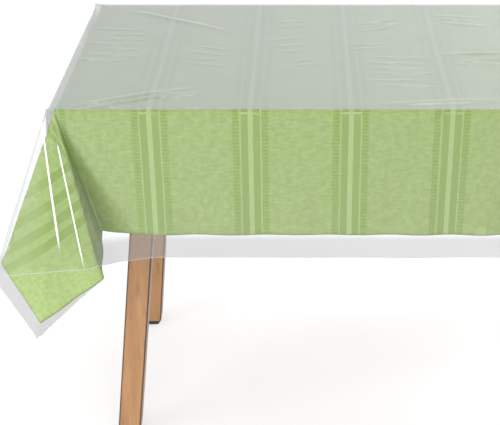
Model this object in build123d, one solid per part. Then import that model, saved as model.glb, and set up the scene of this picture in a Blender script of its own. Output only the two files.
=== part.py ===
from build123d import *
import os
from math import radians, tan

# A wooden table, a woven tablecloth draped on it, and a clear protector draped on the cloth.
# Millimetres. The origin is on the floor under the middle of the table, +Z is up, +X runs along the
# table's long side and -Y is the front.

# Driving dimensions: the table
TOP_LENGTH = 1186
TOP_DEPTH = 550
TOP_HEIGHT = 745
TOP_THICKNESS = 22
TOP_EDGE_RADIUS = 8
TOP_CORNER_RADIUS = 10

LEG_WIDTH = 45
LEG_EDGE_RADIUS = 3
LEG_SPLAY_X = 6.1
LEG_SPLAY_Y = 6.4
FOOT_CENTRE_X = 523
FOOT_CENTRE_Y = 204
FOOT_WIDTH = 40
FOOT_HEIGHT = 13

APRON_HEIGHT = 60
APRON_THICKNESS = 18
BRACE_LENGTH = 96
BRACE_THICKNESS = 20
BRACE_HEIGHT = 44

BOLT_RADIUS = 4
BOLT_LENGTH = 72
NUT_WIDTH = 13
NUT_THICKNESS = 6
WASHER_RADIUS = 10
WASHER_THICKNESS = 2
NAIL_RADIUS = 1.5
NAIL_HEAD_RADIUS = 4
NAIL_HEAD_THICKNESS = 2
NAIL_LENGTH = 28
FIT = 0.1

BRACKET_SPACING = 260
BRACKET_LEG = 24
BRACKET_WIDTH = 20
BRACKET_THICKNESS = 2
SCREW_RADIUS = 2
SCREW_HEAD_RADIUS = 4
SCREW_HEAD_THICKNESS = 2
SCREW_LENGTH = 14

# Driving dimensions: the two sheets. A drop is how far a sheet hangs below the table's edge.
GAP = 0.5
SHEET_THICKNESS = 2
CLOTH_FRONT_DROP = 243
CLOTH_SIDE_DROP = 320
FILM_FRONT_DROP = 290
FILM_SIDE_DROP = 365

UNDERSIDE = TOP_HEIGHT - TOP_THICKNESS
CORNERS = {"front_left": (-1, -1), "front_right": (1, -1), "back_left": (-1, 1), "back_right": (1, 1)}


def at_corner(shape, corner):
    """A shape made for the back right corner, mirrored to the named corner."""
    sign_x, sign_y = CORNERS[corner]
    if sign_x < 0:
        shape = mirror(shape, about=Plane.YZ)
    if sign_y < 0:
        shape = mirror(shape, about=Plane.XZ)
    return shape


def leg_centre(height):
    """Middle of the back right leg's section at a height: the leg leans in as it rises."""
    return (FOOT_CENTRE_X - height * tan(radians(LEG_SPLAY_X)),
            FOOT_CENTRE_Y - height * tan(radians(LEG_SPLAY_Y)))


def rounded_square(width, radius, centre, height):
    return Plane.XY.offset(height) * Pos(*centre) * RectangleRounded(width, width, radius)


def spike(radius, length, head_radius, head_thickness):
    """A nail or screw along +Z, its head below Z 0 and its shank above."""
    head = Pos(0, 0, -head_thickness / 2) * Cylinder(head_radius, head_thickness)
    return head + Pos(0, 0, length / 2) * Cylinder(radius, length)


# Table top: one board with eased edges.
board = extrude(RectangleRounded(TOP_LENGTH, TOP_DEPTH, TOP_CORNER_RADIUS), TOP_THICKNESS)
board = Pos(0, 0, UNDERSIDE) * board
rims = board.edges().filter_by(Plane.XY)
table_top = fillet(rims, TOP_EDGE_RADIUS)

# Back right leg, foot, nail and bolt. The other corners are mirror images.
leg_blank = loft([rounded_square(LEG_WIDTH, LEG_EDGE_RADIUS, leg_centre(height), height)
                  for height in (FOOT_HEIGHT, UNDERSIDE)])
foot_blank = loft([rounded_square(FOOT_WIDTH - 4, 6, leg_centre(0), 0),
                   rounded_square(FOOT_WIDTH, 8, leg_centre(0), 4),
                   rounded_square(FOOT_WIDTH, 8, leg_centre(0), FOOT_HEIGHT)], ruled=True)
nail_seat = 3
nail = Pos(*leg_centre(0), nail_seat) * spike(NAIL_RADIUS, NAIL_LENGTH, NAIL_HEAD_RADIUS,
                                              NAIL_HEAD_THICKNESS)
nail_hole = Pos(*leg_centre(0), nail_seat) * spike(NAIL_RADIUS + FIT, NAIL_LENGTH + 2,
                                                   NAIL_HEAD_RADIUS + FIT, nail_seat)
foot = foot_blank - nail_hole

# Aprons: four rails whose ends are cut to the slope of the legs.
apron_level = UNDERSIDE - APRON_HEIGHT / 2
apron_x, apron_y = leg_centre(apron_level)
apron_long_blank = Pos(0, apron_y, apron_level) * Box(2 * apron_x, APRON_THICKNESS, APRON_HEIGHT)
apron_short_blank = Pos(apron_x, 0, apron_level) * Box(APRON_THICKNESS, 2 * apron_y, APRON_HEIGHT)
all_legs = [at_corner(leg_blank, corner) for corner in CORNERS]
apron_back = apron_long_blank - all_legs
apron_right = apron_short_blank - all_legs

# Corner brace: a bar across the inner corner, tight behind the leg, with a bolt into the leg.
inner_x = apron_x - LEG_WIDTH / 2
inner_y = apron_y - LEG_WIDTH / 2
brace_level = UNDERSIDE - BRACE_HEIGHT / 2 - 2
diagonal = Plane(origin=(inner_x, inner_y, brace_level), x_dir=(1, -1, 0), z_dir=(-1, -1, 0))
brace_blank = diagonal * Pos(0, 0, BRACE_THICKNESS / 2) * Box(BRACE_LENGTH, BRACE_HEIGHT, BRACE_THICKNESS)
face_x = apron_x - APRON_THICKNESS / 2
face_y = apron_y - APRON_THICKNESS / 2
brace_blank &= Pos(0, 0, brace_level) * Box(2 * face_x, 2 * face_y, BRACE_HEIGHT)
brace_blank -= all_legs
bolt_start = BRACE_THICKNESS + WASHER_THICKNESS + NUT_THICKNESS + 4
bolt = diagonal * Pos(0, 0, bolt_start - BOLT_LENGTH / 2) * Cylinder(BOLT_RADIUS, BOLT_LENGTH)
bolt_hole = diagonal * Pos(0, 0, bolt_start - BOLT_LENGTH / 2) * Cylinder(BOLT_RADIUS + FIT,
                                                                         BOLT_LENGTH + 2)
washer = diagonal * Pos(0, 0, BRACE_THICKNESS + WASHER_THICKNESS / 2) * (
    Cylinder(WASHER_RADIUS, WASHER_THICKNESS) - Cylinder(BOLT_RADIUS + FIT, WASHER_THICKNESS))
nut_seat = BRACE_THICKNESS + WASHER_THICKNESS
nut_section = RegularPolygon(NUT_WIDTH / 2, 6, major_radius=False) - Circle(BOLT_RADIUS + FIT)
nut = diagonal * Pos(0, 0, nut_seat) * extrude(nut_section, NUT_THICKNESS)
brace = brace_blank - bolt_hole
leg = leg_blank - [bolt_hole, nail_hole]

# Angle brackets under the top: three along each long apron, one along each short apron.
bracket = Pos(BRACKET_LEG / 2, 0, -BRACKET_THICKNESS / 2) * Box(BRACKET_LEG, BRACKET_WIDTH,
                                                              BRACKET_THICKNESS)
bracket += Pos(BRACKET_THICKNESS / 2, 0, -BRACKET_LEG / 2) * Box(BRACKET_THICKNESS, BRACKET_WIDTH,
                                                                 BRACKET_LEG)
hole_reach = BRACKET_LEG * 0.6
screw = spike(SCREW_RADIUS, SCREW_LENGTH, SCREW_HEAD_RADIUS, SCREW_HEAD_THICKNESS)
top_screw = Pos(hole_reach, 0, -BRACKET_THICKNESS) * screw
side_screw = Pos(BRACKET_THICKNESS, 0, -hole_reach) * Rot(0, -90, 0) * screw
top_hole = Pos(hole_reach, 0, 0) * Cylinder(SCREW_RADIUS + FIT, 2 * SCREW_LENGTH + 2)
side_hole = Pos(0, 0, -hole_reach) * Rot(0, 90, 0) * Cylinder(SCREW_RADIUS + FIT, 2 * SCREW_LENGTH + 2)
bracket -= [top_hole, side_hole]

bracket_places = [Pos(x, side * face_y, UNDERSIDE) * Rot(0, 0, -90 * side)
                  for side in (-1, 1) for x in (-BRACKET_SPACING, 0, BRACKET_SPACING)]
bracket_places += [Pos(side * face_x, 0, UNDERSIDE) * Rot(0, 0, 90 + 90 * side) for side in (-1, 1)]
screw_holes = [place * hole for place in bracket_places for hole in (top_hole, side_hole)]
table_top -= screw_holes


# The two sheets. Each is one closed shell, open below: a flat top, four drops, and an ear of folded
# cloth that hangs from each corner.
def corner_turn(before, here, after):
    """Outward corner offset, per unit of thickness, where two flat facets meet."""
    return (before + after) * (1 / (1 + max(before.dot(after), -0.6)))


def draped_sheet(half_length, half_depth, top, ear, thickness):
    """Shell of a draped sheet. The inner corner is at (half_length, half_depth, top), and ear lists
    the hem from the end of the back drop, round the corner's fold, to the start of the side drop,
    each point measured from that inner corner."""
    corner = Vector(half_length, half_depth, top)
    hem = [corner + Vector(*point) for point in ear]
    fan = [(corner, first, second) for first, second in zip(hem, hem[1:])]
    normals = [Vector(0, 1, 0)]
    normals += [(third - first).cross(second - first).normalized() for first, second, third in fan]
    normals += [Vector(1, 0, 0)]
    outer_corner = corner + Vector(thickness, thickness, thickness)
    outer_hem = [point + corner_turn(before, point, after) * thickness
                 for point, before, after in zip(hem, normals, normals[1:])]
    faces = []
    for name, (sign_x, sign_y) in CORNERS.items():
        def place(point):
            return (point.X * sign_x, point.Y * sign_y, point.Z)
        for apex, ring in ((corner, hem), (outer_corner, outer_hem)):
            faces += [Face(Wire.make_polygon([place(apex), place(first), place(second)]))
                      for first, second in zip(ring, ring[1:])]
        for index in range(len(hem) - 1):
            rim = [hem[index], hem[index + 1], outer_hem[index + 1], outer_hem[index]]
            faces += [Face(Wire.make_polygon([place(rim[0]), place(rim[1]), place(rim[2])])),
                      Face(Wire.make_polygon([place(rim[0]), place(rim[2]), place(rim[3])]))]

    def strip(points, flip):
        """Four-sided face from two points and their mirror images across the table."""
        first, second = points
        near = [(first.X, first.Y, first.Z), (second.X, second.Y, second.Z)]
        far = [(x * flip[0], y * flip[1], z) for x, y, z in reversed(near)]
        return near + far

    for apex, ring in ((corner, hem), (outer_corner, outer_hem)):
        long_strip = strip((apex, ring[0]), (-1, 1))
        short_strip = strip((apex, ring[-1]), (1, -1))
        for side in (-1, 1):
            faces += [Face(Wire.make_polygon([(x, y * side, z) for x, y, z in long_strip])),
                      Face(Wire.make_polygon([(x * side, y, z) for x, y, z in short_strip]))]
        faces += [Face(Wire.make_polygon([(apex.X * sx, apex.Y * sy, apex.Z)
                                          for sx, sy in ((1, 1), (-1, 1), (-1, -1), (1, -1))]))]
    long_rim = strip((hem[0], outer_hem[0]), (-1, 1))
    short_rim = strip((hem[-1], outer_hem[-1]), (1, -1))
    for side in (-1, 1):
        faces += [Face(Wire.make_polygon([(x, y * side, z) for x, y, z in long_rim])),
                  Face(Wire.make_polygon([(x * side, y, z) for x, y, z in short_rim]))]
    return Solid(Shell(faces))


# The cloth's ear folds back behind itself at both sides, so it hangs from a narrow neck.
cloth_ear = [(-120, 0, -CLOTH_FRONT_DROP), (-26, 3, -250), (-64, 44, -312), (0, 58, -360), (53, 55, -395),
             (90, 34, -345), (114, 9, -296), (3, -26, -318), (0, -150, -CLOTH_SIDE_DROP)]
# The protector's ear is a plain flared fold outside the cloth's ear.
film_ear = [(-190, 0, -FILM_FRONT_DROP), (-80, 60, -300), (52, 68, -330), (97, 62, -430), (144, 16, -335),
            (24, -120, -356), (0, -190, -FILM_SIDE_DROP)]

sheet_half_length = TOP_LENGTH / 2 + GAP
sheet_half_depth = TOP_DEPTH / 2 + GAP
sheet_level = TOP_HEIGHT + GAP
layer = SHEET_THICKNESS + GAP
tablecloth = draped_sheet(sheet_half_length, sheet_half_depth, sheet_level, cloth_ear, SHEET_THICKNESS)
clear_protector = draped_sheet(sheet_half_length + layer, sheet_half_depth + layer, sheet_level + layer,
                               film_ear, SHEET_THICKNESS)

# Nodes
nodes = {"table_top": table_top, "tablecloth": tablecloth, "clear_protector": clear_protector}
nodes["apron_back"] = apron_back - screw_holes
nodes["apron_front"] = mirror(nodes["apron_back"], about=Plane.XZ)
nodes["apron_right"] = apron_right - screw_holes
nodes["apron_left"] = mirror(nodes["apron_right"], about=Plane.YZ)
for corner in CORNERS:
    nodes[f"leg_{corner}"] = at_corner(leg, corner)
    nodes[f"foot_{corner}"] = at_corner(foot, corner)
    nodes[f"corner_brace_{corner}"] = at_corner(brace, corner)
fasteners = {"leg_bolts": bolt, "leg_washers": washer, "leg_nuts": nut, "foot_nails": nail}
for name, piece in fasteners.items():
    nodes[name] = Compound([at_corner(piece, corner) for corner in CORNERS])
nodes["top_brackets"] = Compound([place * bracket for place in bracket_places])
nodes["bracket_screws"] = Compound([place * screw for place in bracket_places
                                    for screw in (top_screw, side_screw)])

os.makedirs("parts", exist_ok=True)
for name, shape in nodes.items():
    export_step(shape, f"parts/{name}.step")
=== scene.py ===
from math import cos, pi, radians, sin

import bpy
import numpy as np
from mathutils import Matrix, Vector


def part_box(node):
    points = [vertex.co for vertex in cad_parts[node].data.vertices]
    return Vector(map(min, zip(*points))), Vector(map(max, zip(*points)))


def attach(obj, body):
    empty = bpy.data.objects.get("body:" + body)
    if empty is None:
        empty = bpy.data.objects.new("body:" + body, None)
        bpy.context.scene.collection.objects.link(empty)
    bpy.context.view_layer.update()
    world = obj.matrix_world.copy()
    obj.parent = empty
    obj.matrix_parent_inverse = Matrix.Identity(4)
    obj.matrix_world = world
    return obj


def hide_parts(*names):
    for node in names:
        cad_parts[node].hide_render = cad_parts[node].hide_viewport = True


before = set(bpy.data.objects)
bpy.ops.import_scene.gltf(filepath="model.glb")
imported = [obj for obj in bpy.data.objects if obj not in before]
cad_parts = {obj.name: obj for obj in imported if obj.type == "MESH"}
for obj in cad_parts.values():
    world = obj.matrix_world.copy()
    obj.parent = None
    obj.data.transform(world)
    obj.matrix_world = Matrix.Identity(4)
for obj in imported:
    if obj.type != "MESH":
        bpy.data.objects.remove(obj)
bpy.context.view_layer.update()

# ---------------------------------------------------------------------------------------------
# Legs. Four square bars of brown hardwood under a satin lacquer, sawn with the grain running down
# the bar and splayed outwards. The edges are eased, and a darker colour is painted along them as shade.


class Value:
    """A socket in a finish. Arithmetic on it adds Math nodes."""

    def __init__(self, finish, socket):
        self.finish = finish
        self.socket = socket

    def math(self, operation, *others):
        return self.finish.node("ShaderNodeMath", {"operation": operation}, (self, *others))

    def __add__(self, other):
        return self.math("ADD", other)

    def __sub__(self, other):
        return self.math("SUBTRACT", other)

    def __rsub__(self, other):
        return self.finish.node("ShaderNodeMath", {"operation": "SUBTRACT"}, (other, self))

    def __mul__(self, other):
        return self.math("MULTIPLY", other)

    def __truediv__(self, other):
        return self.math("DIVIDE", other)

    def __pow__(self, other):
        return self.math("POWER", other)

    def __gt__(self, other):
        return self.math("GREATER_THAN", other)

    def __abs__(self):
        return self.math("ABSOLUTE")

    def wave(self, period):
        """Runs from 0 to 1 and back once in every period."""
        return (self * (2 * pi / period)).math("SINE") * 0.5 + 0.5

    def ramp(self, low, high, start=0.0, end=1.0):
        """start where this is low, end where it is high, and a smooth run between."""
        settings = {"interpolation_type": "SMOOTHSTEP"}
        return self.finish.node("ShaderNodeMapRange", settings, (self, low, high, start, end))

    __radd__ = __add__
    __rmul__ = __mul__


class Finish:
    """A material and its nodes."""

    def __init__(self, name):
        self.material = bpy.data.materials.new(name)
        self.material.use_nodes = True
        self.tree = self.material.node_tree
        self.tree.nodes.clear()

    def node(self, kind, settings, inputs, output=0):
        """Adds one node: settings first, then the values or links of its sockets."""
        made = self.tree.nodes.new(kind)
        for key, setting in settings.items():
            setattr(made, key, setting)
        pairs = inputs.items() if isinstance(inputs, dict) else enumerate(inputs)
        for key, given in pairs:
            if isinstance(given, Value):
                self.tree.links.new(given.socket, made.inputs[key])
            else:
                made.inputs[key].default_value = given
        return Value(self, made.outputs[output]) if made.outputs else None

    def mix(self, amount, first, second):
        """Colour first where amount is 0, and second where it is 1."""
        first, second = ((*c, 1) if isinstance(c, tuple) else c for c in (first, second))
        return self.node("ShaderNodeMix", {"data_type": "RGBA"}, {0: amount, 6: first, 7: second}, 2)

    def place(self):
        """Where the point is, in metres, in the object's frame."""
        return self.node("ShaderNodeTexCoord", {}, (), "Object")

    def stretch(self, place, scale):
        return self.node("ShaderNodeMapping", {}, {"Vector": place, "Scale": scale})

    def grain(self, place, scale, detail=3.0, roughness=0.5):
        """Soft noise, 0 to 1."""
        return self.node("ShaderNodeTexNoise", {}, {"Vector": place, "Scale": scale, "Detail": detail,
                                                    "Roughness": roughness})

    def bump(self, height, distance, strength=1.0):
        return self.node("ShaderNodeBump", {}, {"Strength": strength, "Distance": distance,
                                                "Height": height})

    def coat(self, **inputs):
        """A Principled shader with these inputs, its names written with _ for a space."""
        named = {key.replace("_", " "): given for key, given in inputs.items()}
        return self.node("ShaderNodeBsdfPrincipled", {}, named)

    def done(self, shader):
        self.node("ShaderNodeOutputMaterial", {}, (shader,))
        return self.material


def dress(names, material):
    """Gives CAD nodes a finish."""
    for name in names:
        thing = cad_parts[name]
        thing.data.materials.clear()
        thing.data.materials.append(material)


PALE_WOOD = (0.345, 0.180, 0.073)
MID_WOOD = (0.275, 0.136, 0.054)
DARK_WOOD = (0.175, 0.080, 0.030)
# The darkest tone is painted shade for the legs' long edges, not a colour of the wood.
ARRIS_SHADE_WOOD = (0.035, 0.018, 0.008)


def brown_wood(name, along, pale=1.0, arris_shade=None):
    """Lacquered wood with its grain along an axis: 0, 1 or 2. The optional function of finish and
    place says where a darker colour is painted in as shade."""

    def tone(colour):
        return tuple(channel * pale for channel in colour)

    finish = Finish(name)
    squeeze = [46.0, 46.0, 46.0]
    squeeze[along] = 2.2
    fine = [420.0, 420.0, 420.0]
    fine[along] = 9.0
    place = finish.place()
    figure = finish.grain(finish.stretch(place, squeeze), 1.0, 4.0, 0.55)
    pores = finish.grain(finish.stretch(place, fine), 1.0, 2.0, 0.6)
    streaks = finish.grain(finish.stretch(place, [s * 2.6 for s in squeeze]), 1.0, 2.0, 0.5)
    wood = finish.mix(figure.ramp(0.30, 0.68), tone(MID_WOOD), tone(PALE_WOOD))
    wood = finish.mix(streaks.ramp(0.56, 0.74) * 0.55, wood, tone(DARK_WOOD))
    wood = finish.mix(pores.ramp(0.58, 0.72) * 0.35, wood, tone(DARK_WOOD))
    # Painted shade: the darkest tone is mixed in where the given function says.
    if arris_shade:
        wood = finish.mix(arris_shade(finish, place) * 0.9, wood, ARRIS_SHADE_WOOD)
    relief = figure * 0.5 + pores
    shader = finish.coat(Base_Color=wood, Roughness=pores.ramp(0.3, 0.7, 0.38, 0.52),
                         Normal=finish.bump(relief, 0.0004, 0.5), Coat_Weight=0.1, Coat_Roughness=0.3)
    return finish.done(shader)


corners = ("front_left", "front_right", "back_left", "back_right")
leg_low, leg_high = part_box("leg_back_right")
leg_half_width = 0.0225
edge_starts, edge_full = 0.0185, 0.0205


def leg_edges(finish, place):
    """1 along the four long edges of each leg, which leans in as it rises: where shade is painted."""
    from_edge = []
    for axis in (0, 1):
        across = abs(finish.node("ShaderNodeSeparateXYZ", {}, (place,), axis))
        height = finish.node("ShaderNodeSeparateXYZ", {}, (place,), 2)
        foot_middle = leg_high[axis] - leg_half_width
        top_middle = leg_low[axis] + leg_half_width
        lean = (foot_middle - top_middle) / (leg_high[2] - leg_low[2])
        middle = (leg_low[2] - height) * lean + foot_middle
        from_edge.append(abs(across - middle).ramp(edge_starts, edge_full))
    return from_edge[0] * from_edge[1]


dress([f"leg_{corner}" for corner in corners], brown_wood("leg_wood", along=2, arris_shade=leg_edges))

# ---------------------------------------------------------------------------------------------
# Feet. A moulded black plastic foot is nailed under each leg, a little smaller than the bar, with a
# fine spark-eroded texture and a scuffed rim where it meets the floor.


def moulded_black():
    finish = Finish("moulded_black")
    place = finish.place()
    pits = finish.grain(place, 1600.0, 2.0)
    scuffs = finish.grain(finish.stretch(place, [60.0, 60.0, 240.0]), 1.0, 3.0)
    height = finish.node("ShaderNodeSeparateXYZ", {}, (place,), 2)
    rubbed = (1.0 - height.ramp(0.001, 0.005)) * scuffs.ramp(0.45, 0.7)
    colour = finish.mix(rubbed, (0.012, 0.012, 0.013), (0.07, 0.068, 0.065))
    shader = finish.coat(Base_Color=colour, Roughness=pits.ramp(0.3, 0.7, 0.42, 0.6),
                         Normal=finish.bump(pits, 0.0001, 0.4))
    return finish.done(shader)


dress([f"foot_{corner}" for corner in corners], moulded_black())

# ---------------------------------------------------------------------------------------------
# Aprons, braces and top. Rails of the same wood join the legs, a diagonal block backs each corner,
# and the board of the top lies on them, its grain along the table.

dress(["apron_front", "apron_back", "table_top"], brown_wood("long_wood", along=0))
dress(["apron_left", "apron_right"], brown_wood("cross_wood", along=1))
dress([f"corner_brace_{corner}" for corner in corners], brown_wood("block_wood", along=2, pale=0.85))

# ---------------------------------------------------------------------------------------------
# Hardware. Bolts, washers, nuts, angle brackets, screws and nails are zinc plated steel with a fine
# drawn grain and a few dull patches.


def zinc_plate():
    finish = Finish("zinc_plate")
    place = finish.place()
    drawn = finish.grain(finish.stretch(place, [2600.0, 2600.0, 260.0]), 1.0, 2.0)
    bloom = finish.grain(place, 180.0, 3.0)
    colour = finish.mix(bloom.ramp(0.35, 0.7), (0.62, 0.63, 0.65), (0.47, 0.48, 0.50))
    shader = finish.coat(Base_Color=colour, Metallic=1.0, Roughness=bloom.ramp(0.3, 0.7, 0.28, 0.46),
                         Normal=finish.bump(drawn, 0.00005, 0.4))
    return finish.done(shader)


hardware = ("leg_bolts", "leg_washers", "leg_nuts", "foot_nails", "top_brackets", "bracket_screws")
dress(hardware, zinc_plate())

# ---------------------------------------------------------------------------------------------
# Tablecloth. One piece of light green woven cloth, hemmed all round, with satin bands across it. It
# lies flat on the top, turns over the edges, and at each corner the spare cloth folds into an ear.

MM = 0.001
CELL = 4.8 * MM
FAR = 10.0
OVER_TOP = 1.5 * pi


class Cone:
    """How a sheet folds round one corner of the table. Every straight line from the corner stays
    straight, so the folded sheet is a cone, and the flat angle round the corner sets its direction.
    Angles run from the long edge, over its drop, round the ear to the short edge, and then, from
    OVER_TOP on, across the top. FAR stands for the far end of an edge."""

    STEP = radians(0.1)

    def __init__(self, front_drop, side_drop, stations):
        flat = [(-FAR, 0.0), (-FAR, front_drop)] + [s[0] for s in stations]
        flat += [(side_drop, -FAR), (0.0, -FAR)]
        hung = [(-FAR, 0.0, 0.0), (-FAR, 0.0, -front_drop)] + [s[1] for s in stations]
        hung += [(0.0, -FAR, -side_drop), (0.0, -FAR, 0.0)]
        flat, hung = np.array(flat), np.array(hung)
        angles = np.arange(-1.5, 2 * pi + 1.5, self.STEP)
        turned = np.mod(angles, 2 * pi)
        aim = np.stack([-np.cos(turned), np.sin(turned)], 1)
        level_aim = np.stack([aim[:, 0], aim[:, 1], 0 * turned], 1)
        heading = np.where(turned[:, None] > OVER_TOP, level_aim, 0.0)
        for (f0, f1), (h0, h1) in zip(zip(flat, flat[1:]), zip(hung, hung[1:])):
            run = f1 - f0
            across = aim[:, 0] * run[1] - aim[:, 1] * run[0]
            along = np.divide(f0[1] * aim[:, 0] - f0[0] * aim[:, 1], -across, where=np.abs(across) > 1e-9,
                              out=np.full_like(across, -1.0))
            reach = np.hypot(*(f0[:, None] + run[:, None] * along))
            start, stop = (np.mod(np.arctan2(p[1], -p[0]), 2 * pi) for p in (f0, f1))
            inside = (turned >= start - 1e-6) & (turned <= stop + 1e-6) & (turned <= OVER_TOP)
            spot = h0 + (h1 - h0) * along[:, None]
            heading = np.where(inside[:, None], spot / np.maximum(reach, 1e-9)[:, None], heading)
        self.start = angles[0]
        once = np.cumsum(heading, 0) * self.STEP
        self.twice = np.cumsum(once, 0) * self.STEP
        self.count = len(angles)

    def sum_at(self, angle):
        place = np.clip((angle - self.start) / self.STEP, 0, self.count - 1.001)
        low = place.astype(int)
        share = (place - low)[..., None]
        return self.twice[low] * (1 - share) + self.twice[low + 1] * share

    def heading(self, angle, spread):
        """Direction at a flat angle, with each fold rounded over spread radians to either side."""
        total = self.sum_at(angle + spread) - 2 * self.sum_at(angle) + self.sum_at(angle - spread)
        return total / (spread ** 2)[..., None]


ear_starts, ear_ends, ear_blend = radians(40), radians(250), radians(30)
least_spread, most_spread = radians(0.3), radians(50)


def drape(half_length, half_depth, level, front_drop, side_drop, ears, edge_radius, fold_radius, relief,
          thickness, top_cell=CELL):
    """A draped sheet as two grids of points, its outer and inner face, and the grid's flat places. The
    middle surface is folded round each corner by that corner's cone, raised by relief(x, y) along its
    normal, and given thickness(margin). Flat angles between ear_starts and ear_ends get fold_radius,
    and the rest edge_radius."""
    full_x, full_y = half_length + side_drop, half_depth + front_drop
    columns = np.linspace(-full_x, full_x, int(round(2 * full_x / CELL)) + 1)
    top_rows = np.linspace(-half_depth, half_depth, int(round(2 * half_depth / top_cell)) + 1)
    drop_rows = np.linspace(0, front_drop, int(round(front_drop / CELL)) + 1)[1:]
    rows = np.concatenate([-half_depth - drop_rows[::-1], top_rows, half_depth + drop_rows])
    flat_x, flat_y = np.meshgrid(columns, rows, indexing="ij")
    middle = np.zeros(flat_x.shape + (3,))
    for (sign_x, sign_y), stations in ears.items():
        cone = Cone(front_drop, side_drop, stations)
        chosen = ((flat_x >= 0) == (sign_x > 0)) & ((flat_y >= 0) == (sign_y > 0))
        off_x = np.abs(flat_x[chosen]) - half_length
        off_y = np.abs(flat_y[chosen]) - half_depth
        reach = np.hypot(off_x, off_y) + 1e-6
        angle = np.mod(np.arctan2(off_y, -off_x), 2 * pi)
        past_start = np.clip((angle - ear_starts) / ear_blend, 0, 1)
        before_end = np.clip((ear_ends - angle) / ear_blend, 0, 1)
        radius = edge_radius + (fold_radius - edge_radius) * past_start * before_end
        spread = np.clip(radius / reach, least_spread, most_spread)
        aim = cone.heading(angle, spread)
        spot = np.array([half_length, half_depth, level]) + aim * reach[:, None]
        middle[chosen] = spot * (sign_x, sign_y, 1)
    normal = np.cross(np.gradient(middle, axis=0), np.gradient(middle, axis=1))
    normal /= np.maximum(np.linalg.norm(normal, axis=2, keepdims=True), 1e-12)
    margin = np.minimum(full_x - np.abs(flat_x), full_y - np.abs(flat_y))
    middle = middle + normal * relief(flat_x, flat_y)[..., None]
    half = normal * (thickness(margin) / 2)[..., None]
    outer, inner = middle + half, middle - half
    return outer, inner, flat_x, flat_y


def sheet_mesh(name, outer, inner, flat_x, flat_y, material):
    """A closed mesh from a sheet's two faces and the rim between them. The UV map "flat" holds each
    point's place on the flat sheet, in metres."""
    wide, deep = flat_x.shape
    number = np.arange(wide * deep).reshape(wide, deep)
    top = np.stack([number[:-1, :-1], number[1:, :-1], number[1:, 1:], number[:-1, 1:]], -1)
    top = top.reshape(-1, 4)
    below = top[:, ::-1] + wide * deep
    ring = np.concatenate([number[:, 0], number[-1, 1:], number[-2::-1, -1], number[0, -2:0:-1]])
    after = np.roll(ring, -1)
    rim = np.stack([after, ring, ring + wide * deep, after + wide * deep], -1)
    faces = np.concatenate([top, below, rim])
    points = np.concatenate([outer.reshape(-1, 3), inner.reshape(-1, 3)])
    mesh = bpy.data.meshes.new(name)
    mesh.vertices.add(len(points))
    mesh.vertices.foreach_set("co", points.ravel())
    mesh.loops.add(faces.size)
    mesh.loops.foreach_set("vertex_index", faces.ravel())
    mesh.polygons.add(len(faces))
    mesh.polygons.foreach_set("loop_start", np.arange(0, faces.size, 4))
    mesh.update(calc_edges=True)
    mesh.polygons.foreach_set("use_smooth", np.ones(len(faces), bool))
    flat = np.stack([flat_x.ravel(), flat_y.ravel()], 1)
    flat = np.concatenate([flat, flat])
    mesh.uv_layers.new(name="flat").data.foreach_set("uv", flat[faces.ravel()].ravel())
    piece = bpy.data.objects.new(name, mesh)
    bpy.context.scene.collection.objects.link(piece)
    mesh.materials.append(material)
    return piece


def mirrored_ears(stations, sways):
    """The ear of each corner: the same fold, swung out a little more or less."""
    ears = {}
    for signs, (swing_x, swing_y) in sways.items():
        ears[signs] = [(flat, (x - z * swing_x * (x > 0), y - z * swing_y * (y > 0), z))
                       for flat, (x, y, z) in stations]
    return ears


table_low, table_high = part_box("table_top")
cloth_drop = 243 * MM
cloth_side_drop = 320 * MM
cloth_thickness = 0.9 * MM
hem_width = 15 * MM
cloth_gap = 0.3 * MM
cloth_half_length = table_high[0] + 1.5 * MM
cloth_half_depth = table_high[1] + 1.5 * MM
cloth_level = table_high[2] + cloth_gap + cloth_thickness / 2

# Each station is a fold line of the ear: where it meets the hem on the flat cloth, measured outwards
# from the table's corner, and where that point of the hem hangs. Millimetres.
cloth_stations = [
    ((-122, 243), (-122, 0, -243)),
    ((-35, 243), (-58, -36, -254)),
    ((135, 243), (-68, 47, -309)),
    ((320, 243), (51, 58, -397)),
    ((320, 138), (122, 13, -292)),
    ((320, 68), (45, 24, -316)),
    ((320, -41), (-48, -45, -318)),
    ((320, -150), (0, -150, -320)),
]


def metres(stations):
    return [(tuple(v * MM for v in flat), tuple(v * MM for v in hung)) for flat, hung in stations]


swings = {(-1, -1): (0.0, 0.0), (1, -1): (0.04, -0.03), (-1, 1): (-0.03, 0.05), (1, 1): (0.02, 0.03)}


def soft_noise(x, y, scale, seed):
    """Smooth noise between -1 and 1 over a grid, from a few sine waves of seeded directions."""
    rng = np.random.default_rng(seed)
    total = np.zeros_like(x)
    for _ in range(7):
        turn, phase, size = rng.uniform(0, 2 * pi), rng.uniform(0, 2 * pi), rng.uniform(0.7, 1.5)
        total += np.sin((x * cos(turn) + y * sin(turn)) * 2 * pi * size / scale + phase)
    return total / 7 ** 0.5 / 1.4


def over_edges(x, y, half_length, half_depth):
    """How far a flat place lies past the table's edges, cornerwise where it is past both."""
    over_x = np.clip(np.abs(x) - half_length, 0, None)
    over_y = np.clip(np.abs(y) - half_depth, 0, None)
    return np.hypot(over_x, over_y)


def cloth_relief(x, y):
    hanging = np.clip(over_edges(x, y, cloth_half_length, cloth_half_depth) / cloth_drop, 0, 1)
    ripple = soft_noise(x, y * 0.5, 0.13, 3) * 2.2 * MM * hanging ** 1.5
    crumple = soft_noise(x * 0.7, y, 0.030, 5) * soft_noise(x, y, 0.09, 6) * 0.35 * MM
    return ripple + crumple * np.clip(hanging * 3, 0.3, 1)


def cloth_body(margin):
    """The cloth's thickness, a little over double where the hem is turned in."""
    turned_in = np.clip((hem_width - margin) / CELL + 0.5, 0, 1)
    return cloth_thickness * (1 + 1.2 * turned_in)


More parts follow.
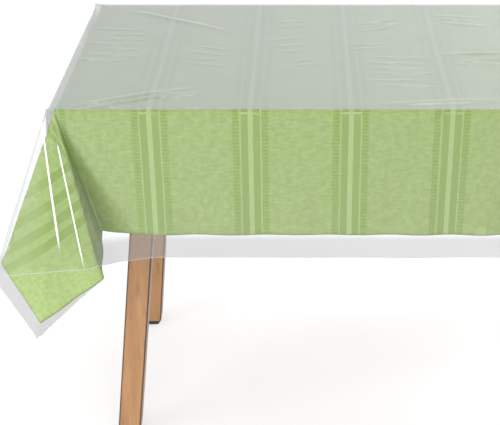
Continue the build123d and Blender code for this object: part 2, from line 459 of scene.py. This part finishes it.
band_spacing = 173 * MM
stripe_half_width = 5.4 * MM
ear_stripes = (77 * MM, 106 * MM, 131 * MM, 153 * MM)
stripes_reach = 635 * MM
GROUND_GREEN = (0.252, 0.330, 0.124)
PALE_GREEN = (0.335, 0.415, 0.195)
SATIN_GREEN = (0.175, 0.260, 0.050)
# Darker green for the threads' weave, and painted shade along the hem's edge.
THREAD_AND_HEM_SHADE_GREEN = (0.13, 0.21, 0.05)


def woven_green():
    """The cloth: a jacquard ground with soft leaf-like figures, and bands across it. A band has a pale
    middle, a satin stripe and a fine line on either side of it, and a ladder pattern outside those. In
    the corners the bands give way to four satin stripes that run along the table."""
    finish = Finish("woven_green")
    flat = finish.node("ShaderNodeUVMap", {"uv_map": "flat"}, ())
    x = finish.node("ShaderNodeSeparateXYZ", {}, (flat,), 0)
    y = finish.node("ShaderNodeSeparateXYZ", {}, (flat,), 1)
    past_edge = abs(y) - cloth_half_depth
    corner = abs(x).ramp(stripes_reach - MM, stripes_reach + MM) * past_edge.ramp(0.010, 0.014)
    banded = 1.0 - corner

    wobble = finish.grain(flat, 320.0, 2.0) - 0.5
    bands_across = (x + wobble * 0.0006) / band_spacing
    to_band = abs(bands_across.math("FLOORED_MODULO", 1.0) - 0.5) * band_spacing
    pale = (1.0 - to_band.ramp(0.0036, 0.0048)) * banded
    satin = to_band.ramp(0.0040, 0.0050) * (1.0 - to_band.ramp(0.0157, 0.0167)) * banded
    line = to_band.ramp(0.0162, 0.0168) * (1.0 - to_band.ramp(0.0184, 0.0192)) * banded
    ladder = to_band.ramp(0.0192, 0.0202) * (1.0 - to_band.ramp(0.0304, 0.0314)) * banded
    for place in ear_stripes:
        to_stripe = abs(past_edge - place)
        satin = (1.0 - to_stripe.ramp(stripe_half_width, stripe_half_width + MM)) * corner + satin
    rungs = (y.wave(0.0068) * 0.6 + x.wave(0.0056) * 0.4).ramp(0.35, 0.65)

    leaves = finish.grain(finish.stretch(flat, [95.0, 60.0, 1.0]), 1.0, 2.0, 0.5).ramp(0.46, 0.54)
    veins = finish.grain(finish.stretch(flat, [70.0, 230.0, 1.0]), 1.0, 3.0, 0.6).ramp(0.42, 0.62)
    slubs = finish.grain(finish.stretch(flat, [60.0, 900.0, 1.0]), 1.0, 1.0).ramp(0.52, 0.75)
    pulled = finish.grain(finish.stretch(flat, [700.0, 50.0, 1.0]), 1.0, 1.0).ramp(0.55, 0.75)
    threads = x.wave(0.0009) * 0.5 + y.wave(0.0007) * 0.5
    plain = 1.0 - satin

    colour = finish.mix((leaves * 0.26 + veins * 0.36) * plain, GROUND_GREEN, PALE_GREEN)
    colour = finish.mix((slubs * 0.40 + pulled * 0.30) * plain, colour, SATIN_GREEN)
    colour = finish.mix(ladder * (rungs * 0.50 + 0.25), colour, SATIN_GREEN)
    colour = finish.mix(pale * 0.75 + line * 0.45, colour, PALE_GREEN)
    colour = finish.mix(satin * 0.9, colour, SATIN_GREEN)
    # Painted shade: a darker line along the cloth's edge, mixed in with the threads' darker weave colour.
    margin = (cloth_flat[0] / 2 - abs(x)).math("MINIMUM", cloth_flat[1] / 2 - abs(y))
    fold = 1.0 - margin.ramp(0.0008, 0.0026)
    colour = finish.mix(threads * 0.16 + fold * 0.45, colour, THREAD_AND_HEM_SHADE_GREEN)

    relief = threads * (1.0 - satin * 0.7) + (slubs + pulled) * 0.6 + ladder * rungs * 0.8
    relief = finish.bump(relief, 0.00022, 0.55)
    shader = finish.coat(Base_Color=colour, Roughness=0.84 - satin * 0.4, Normal=relief,
                         Specular_IOR_Level=0.3, Coat_Weight=satin * 0.5, Coat_Roughness=0.2, Coat_IOR=1.7)
    return finish.done(shader)


cloth_flat = (2 * (cloth_half_length + cloth_side_drop), 2 * (cloth_half_depth + cloth_drop))
cloth_parts = drape(cloth_half_length, cloth_half_depth, cloth_level, cloth_drop, cloth_side_drop,
                    mirrored_ears(metres(cloth_stations), swings), 15 * MM, 8 * MM, cloth_relief,
                    cloth_body)
green_tablecloth = sheet_mesh("green_tablecloth", *cloth_parts, woven_green())
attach(green_tablecloth, "tablecloth")
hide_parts("tablecloth")

# ---------------------------------------------------------------------------------------------
# Hem stitching. A row of short lockstitches in pale green thread, sewn through the turned hem all
# round the cloth. Each stitch lies on the face, thick in the middle, and dives in at both ends.

stitch_length = 3.6 * MM
stitch_pitch = 4.6 * MM
stitch_radius = 0.35 * MM
stitch_margin = 12.5 * MM


def surface_at(face, columns, rows, x, y):
    """Point of a draped face at a place on the flat sheet."""
    i = np.clip(np.searchsorted(columns, x) - 1, 0, len(columns) - 2)
    j = np.clip(np.searchsorted(rows, y) - 1, 0, len(rows) - 2)
    s = (x - columns[i]) / (columns[i + 1] - columns[i])
    t = (y - rows[j]) / (rows[j + 1] - rows[j])
    near = face[i, j] * (1 - t) + face[i, j + 1] * t
    far = face[i + 1, j] * (1 - t) + face[i + 1, j + 1] * t
    return Vector(near * (1 - s) + far * s)


def sew_hem(outer, inner, flat_x, flat_y):
    """Stitches on both faces of the hem, as one mesh of small spindles."""
    columns, rows = flat_x[:, 0], flat_y[0]
    seam_x, seam_y = columns[-1] - stitch_margin, rows[-1] - stitch_margin
    turns = ((-seam_x, -seam_y), (seam_x, -seam_y), (seam_x, seam_y), (-seam_x, seam_y))
    seam = [Vector(turn) for turn in turns]
    points, faces = [], []
    for start, end in zip(seam, seam[1:] + seam[:1]):
        count = int((end - start).length / stitch_pitch)
        run = (end - start) / count
        for index in range(count):
            first = start + run * (index + 0.5 - stitch_length / stitch_pitch / 2)
            last = first + run * (stitch_length / stitch_pitch)
            tops = [surface_at(outer, columns, rows, *place) for place in (first, last)]
            bottoms = [surface_at(inner, columns, rows, *place) for place in (first, last)]
            for ends, away in ((tops, tops[0] - bottoms[0]), (bottoms, bottoms[0] - tops[0])):
                away = away.normalized() * stitch_radius
                side = (ends[1] - ends[0]).normalized().cross(away)
                middle = (ends[0] + ends[1]) / 2
                base = len(points)
                points += [ends[0], middle + side, middle + away, middle - side, middle - away * 0.4]
                points.append(ends[1])
                for turn in range(4):
                    here, after = base + 1 + turn, base + 1 + (turn + 1) % 4
                    faces += [(base, here, after), (base + 5, after, here)]
    mesh = bpy.data.meshes.new("hem_stitching")
    mesh.from_pydata(points, [], faces)
    return mesh


def green_thread():
    """Twisted polyester thread, a little paler than the cloth."""
    finish = Finish("green_thread")
    place = finish.place()
    twist = finish.grain(place, 2600.0, 1.0)
    colour = finish.mix(twist.ramp(0.35, 0.65), (0.30, 0.41, 0.15), (0.42, 0.52, 0.25))
    shader = finish.coat(Base_Color=colour, Roughness=twist.ramp(0.3, 0.7, 0.45, 0.7),
                         Normal=finish.bump(twist, 0.0001, 0.5))
    return finish.done(shader)


hem_stitching = bpy.data.objects.new("hem_stitching", sew_hem(*cloth_parts))
hem_stitching.data.materials.append(green_thread())
bpy.context.scene.collection.objects.link(hem_stitching)
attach(hem_stitching, "tablecloth")

# ---------------------------------------------------------------------------------------------
# Clear protector. A loose sheet of soft clear vinyl over the cloth, larger all round. It has kept
# the creases of its packing on the top, stands off the edges, and wraps each ear of the cloth.

film_drop = 290 * MM
film_side_drop = 365 * MM
film_thickness = 0.6 * MM
film_half_length = cloth_half_length + 12 * MM
film_half_depth = cloth_half_depth + 4 * MM
film_level = cloth_level + cloth_thickness / 2 + 1.2 * MM

film_stations = [
    ((-170, 290), (-170, 0, -290)),
    ((-98, 290), (-110, 13, -291)),
    ((-62, 290), (-75, 50, -279)),
    ((-38, 290), (-52, 61, -280)),
    ((10, 290), (0, 61, -284)),
    ((60, 290), (42, 62, -288)),
    ((125, 290), (108, 46, -303)),
    ((200, 290), (129, 2, -332)),
    ((365, 290), (61, 10, -461)),
    ((365, 120), (-56, -60, -375)),
    ((365, 20), (48, -96, -370)),
    ((365, -210), (0, -210, -365)),
]

# Creases left by packing, in groups: the group's middle, how many lie side by side and how far
# apart, their length, the turn from the table's long side, their height and their half width.
# Millimetres and degrees.
crease_rise = 1.9
crease_groups = [
    ((-528, 35), 7, 27, 120, -5, 0.9, 4.0),
    ((-416, 166), 1, 0, 290, -31, 1.5, 6.5),
    ((-351, -25), 4, 26, 90, -12, 0.7, 3.6),
    ((-188, 150), 2, 22, 90, 9, 0.9, 4.5),
    ((-198, 30), 3, 30, 80, 12, 0.7, 4.0),
    ((-163, -60), 2, 22, 70, 14, 0.8, 4.0),
    ((-13, 140), 3, 20, 130, 26, 1.1, 5.0),
    ((7, -105), 6, 26, 140, -2, 0.8, 4.0),
    ((172, -50), 3, 30, 170, 4, 1.8, 6.0),
    ((-476, -229), 2, 24, 250, 21, 2.0, 6.5),
    ((-378, -218), 1, 0, 90, 24, 1.3, 5.0),
    ((67, -247), 1, 0, 250, 5, 1.5, 9.0),
    ((157, 170), 3, 28, 130, -14, 1.0, 5.0),
    ((-53, 20), 2, 24, 90, 8, 0.6, 4.0),
    ((330, 90), 4, 26, 150, 7, 0.9, 4.5),
    ((395, -170), 2, 24, 210, -18, 1.6, 6.0),
    ((520, 20), 6, 27, 120, 6, 0.9, 4.0),
    ((470, 190), 1, 0, 250, 28, 1.7, 6.0),
    ((490, -235), 2, 22, 170, -20, 1.6, 6.0),
]


def crease_height(x, y):
    """Height of the creases over the flat sheet, drawn from the groups with small seeded changes."""
    height = np.zeros_like(x)
    rng = np.random.default_rng(11)
    for (mid_x, mid_y), count, gap, length, turn, tall, wide in crease_groups:
        for index in range(count):
            shift = (index - (count - 1) / 2) * gap + rng.uniform(-0.2, 0.2) * gap
            lean = radians(turn + rng.uniform(-5, 5) * (count > 1))
            long = length * rng.uniform(0.6, 1.05) if count > 1 else length
            slide = rng.uniform(-0.15, 0.15) * length * (count > 1)
            from_x = x / MM - mid_x - slide
            from_y = y / MM - mid_y - shift
            along = (from_x * cos(lean) + from_y * sin(lean)) / (long / 2)
            bow = rng.uniform(-6, 6)
            across = from_y * cos(lean) - from_x * sin(lean) + bow * along ** 2
            taper = np.clip(1 - along ** 2, 0, 1) ** 1.5
            ridge = taper * np.exp(-(across / wide) ** 2)
            height += crease_rise * tall * MM * rng.uniform(0.7, 1.1) * ridge
    return height


def film_relief(x, y):
    hanging = np.clip(over_edges(x, y, film_half_length, film_half_depth) / film_drop, 0, 1)
    ripple = soft_noise(x, y, 0.22, 17) * 1.3 * MM * hanging
    return crease_height(x, y) + ripple + (soft_noise(x, y, 0.12, 8) + 1) * 0.25 * MM


def film_body(margin):
    return np.full_like(margin, film_thickness)


film_flat = (2 * (film_half_length + film_side_drop), 2 * (film_half_depth + film_drop))

# Painted highlights down fold lines of each ear, standing in for lamps glinting on the folds: where
# the line would meet the table's edge and its lean, both measured past the table's end, then how far
# from the corner it starts and ends, and its half width. Metres.
fold_highlight_lines = [
    (0.0107, -0.046, 0.014, 0.262, 0.0013),
    (-0.007, -0.107, 0.055, 0.300, 0.0009),
]
ear_middle, ear_half_width = 0.052, 0.100
CLEAR_HAZE = (0.38, 0.38, 0.385)
GREY_HAZE = (0.15, 0.15, 0.155)
# The top's paler haze is a painted reflection of the bright surroundings.
TOP_REFLECTION_HAZE = (0.390, 0.410, 0.412)


def clear_vinyl():
    """Soft vinyl: nearly clear where it is looked at squarely, milky and glossy where it slopes. On the
    top it is milkier and paler, a painted reflection of the bright surroundings. It is greyer where it
    hangs below the cloth, and greyer over the ends as painted shade. A whiter line along the cut edge
    and bright lines down the ear's folds are painted highlights."""
    finish = Finish("clear_vinyl")
    flat = finish.node("ShaderNodeUVMap", {"uv_map": "flat"}, ())
    cloudy = finish.grain(flat, 26.0, 3.0)
    fine = finish.grain(flat, 900.0, 2.0)
    x = finish.node("ShaderNodeSeparateXYZ", {}, (flat,), 0)
    y = finish.node("ShaderNodeSeparateXYZ", {}, (flat,), 1)
    margin = (film_flat[0] / 2 - abs(x)).math("MINIMUM", film_flat[1] / 2 - abs(y))
    # Painted highlight: a whiter, milkier line along the cut edge of the sheet.
    cut_edge_highlight = 1.0 - margin.ramp(0.0004, 0.0012)
    on_top = ((abs(x) - film_half_length).ramp(-0.006, 0.003, 1.0, 0.0)
              * (abs(y) - film_half_depth).ramp(-0.006, 0.003, 1.0, 0.0))
    facing = finish.node("ShaderNodeLayerWeight", {}, {"Blend": 0.5}, 1)
    beyond_x, beyond_y = abs(x) - film_half_length, abs(y) - film_half_depth
    reach = (beyond_x * beyond_x + beyond_y * beyond_y) ** 0.5
    # Painted highlights: bright white lines down the ear's fold lines, standing in for lamps glinting on
    # the folds.
    fold_highlight = 0.0
    for root, lean, starts, ends, width in fold_highlight_lines:
        away = abs(beyond_x - beyond_y * lean - root)
        length = reach.ramp(starts, starts + 0.02) * reach.ramp(ends - 0.05, ends, 1.0, 0.0)
        line = away.ramp(width * 0.6, width * 1.6, 1.0, 0.0) * length
        fold_highlight = line * (beyond_y > 0.0) + fold_highlight
    off_ear = abs(beyond_x - ear_middle).ramp(ear_half_width, ear_half_width + 0.025)
    below_cloth = (beyond_y - cloth_drop).ramp(-0.012, 0.012) * off_ear
    free = (beyond_x - cloth_side_drop).ramp(-0.004, 0.012).math("MAXIMUM", below_cloth)
    # On the top the milk is raised and the haze made paler: a painted reflection of the bright
    # surroundings.
    milk = facing * (on_top * 0.30 + 0.44) + cloudy * 0.03 - 0.03
    milk = (milk.math("MAXIMUM", free * 0.27) + cut_edge_highlight * 0.4 + fold_highlight * 0.85).math("MINIMUM", 0.95)
    # Over the ends the haze is greyed as painted shade, standing in for a dim reflection; where the film
    # hangs free it is greyed as well.
    on_end = beyond_x.ramp(0.0, 0.010) * beyond_y.ramp(-0.010, 0.020, 1.0, 0.0)
    greyed = (free * 0.75).math("MAXIMUM", on_end * 0.75)
    haze = finish.mix(greyed, CLEAR_HAZE, GREY_HAZE)
    haze = finish.mix(on_top, haze, TOP_REFLECTION_HAZE)
    haze = finish.mix(cut_edge_highlight, haze, (0.6, 0.6, 0.6))
    haze = finish.mix(fold_highlight.math("MINIMUM", 1.0), haze, (0.95, 0.95, 0.95))
    relief = finish.bump(cloudy + fine * 0.02, 0.0006, 0.2)
    body = finish.coat(Base_Color=haze, Roughness=cloudy.ramp(0.3, 0.7, 0.08, 0.16), Normal=relief,
                       Specular_IOR_Level=0.6, Coat_Weight=(1.0 - on_end) * 0.6, Coat_Roughness=0.06)
    clear = finish.node("ShaderNodeBsdfTransparent", {}, ((0.975, 0.978, 0.975, 1),))
    shader = finish.node("ShaderNodeMixShader", {}, (milk, clear, body))
    return finish.done(shader)


film_parts = drape(film_half_length, film_half_depth, film_level, film_drop, film_side_drop,
                   mirrored_ears(metres(film_stations), swings), 16 * MM, 6 * MM, film_relief,
                   film_body, top_cell=2.5 * MM)
vinyl_protector = sheet_mesh("vinyl_protector", *film_parts, clear_vinyl())
vinyl_protector.visible_shadow = False
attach(vinyl_protector, "protector")
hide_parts("clear_protector")

# ---------------------------------------------------------------------------------------------
# Studio. A plain pale floor under an even pale sky, a wide soft box and a strip in front of the
# table, a soft box at each end, and a strip behind it. None of it belongs to the object.

floor_finish = Finish("studio_floor")
floor_tone = floor_finish.grain(floor_finish.place(), 3.0, 2.0)
floor_colour = floor_finish.mix(floor_tone.ramp(0.2, 0.8), (0.36, 0.36, 0.36), (0.38, 0.38, 0.38))
floor_material = floor_finish.done(floor_finish.coat(Base_Color=floor_colour, Roughness=0.8,
                                                       Emission_Color=(1, 1, 1, 1),
                                                       Emission_Strength=0.58))
floor_mesh = bpy.data.meshes.new("studio_floor")
floor_half = 9.0
floor_mesh.from_pydata([(-floor_half, -floor_half, 0), (floor_half, -floor_half, 0),
                        (floor_half, floor_half, 0), (-floor_half, floor_half, 0)], [], [(0, 1, 2, 3)])
floor_mesh.materials.append(floor_material)
studio_floor = bpy.data.objects.new("studio_floor", floor_mesh)
bpy.context.scene.collection.objects.link(studio_floor)


def soft_box(name, place, target, size, power):
    lamp = bpy.data.lights.new(name, "AREA")
    lamp.shape = "RECTANGLE"
    lamp.size, lamp.size_y = size
    lamp.energy = power
    holder = bpy.data.objects.new(name, lamp)
    bpy.context.scene.collection.objects.link(holder)
    holder.location = place
    holder.rotation_euler = (Vector(target) - Vector(place)).to_track_quat("-Z", "Y").to_euler()


soft_box("front_box", (0.2, -4.2, 1.3), (0, 0, 0.5), (3.2, 2.0), 32)
soft_box("key_box", (-3.3, -1.9, 1.1), (-0.5, -0.3, 0.6), (1.8, 1.6), 60)
soft_box("edge_strip", (-0.2, -3.4, 1.75), (0, -0.3, 0.7), (3.0, 0.8), 52)
soft_box("back_strip", (0.0, 2.6, 3.3), (0, 0, 0.7), (3.0, 0.4), 8)
soft_box("right_box", (1.75, 0.3, 1.45), (0.5, 0.1, 0.75), (0.8, 0.8), 34)

sky = bpy.data.worlds.new("pale_sky")
sky.use_nodes = True
sky.node_tree.nodes["Background"].inputs["Color"].default_value = (1, 1, 1, 1)
sky.node_tree.nodes["Background"].inputs["Strength"].default_value = 1.0
bpy.context.scene.world = sky
bpy.context.scene.view_settings.view_transform = "Standard"

camera_data = bpy.data.cameras.new("camera")
camera_data.sensor_width = 36
camera_data.lens = 86.5
camera_data.shift_x = -0.104
camera = bpy.data.objects.new("camera", camera_data)
camera.location = (-0.171, -2.157, 1.566)
camera.rotation_euler = (radians(61.56), 0, 0)
bpy.context.scene.collection.objects.link(camera)
bpy.context.scene.camera = camera
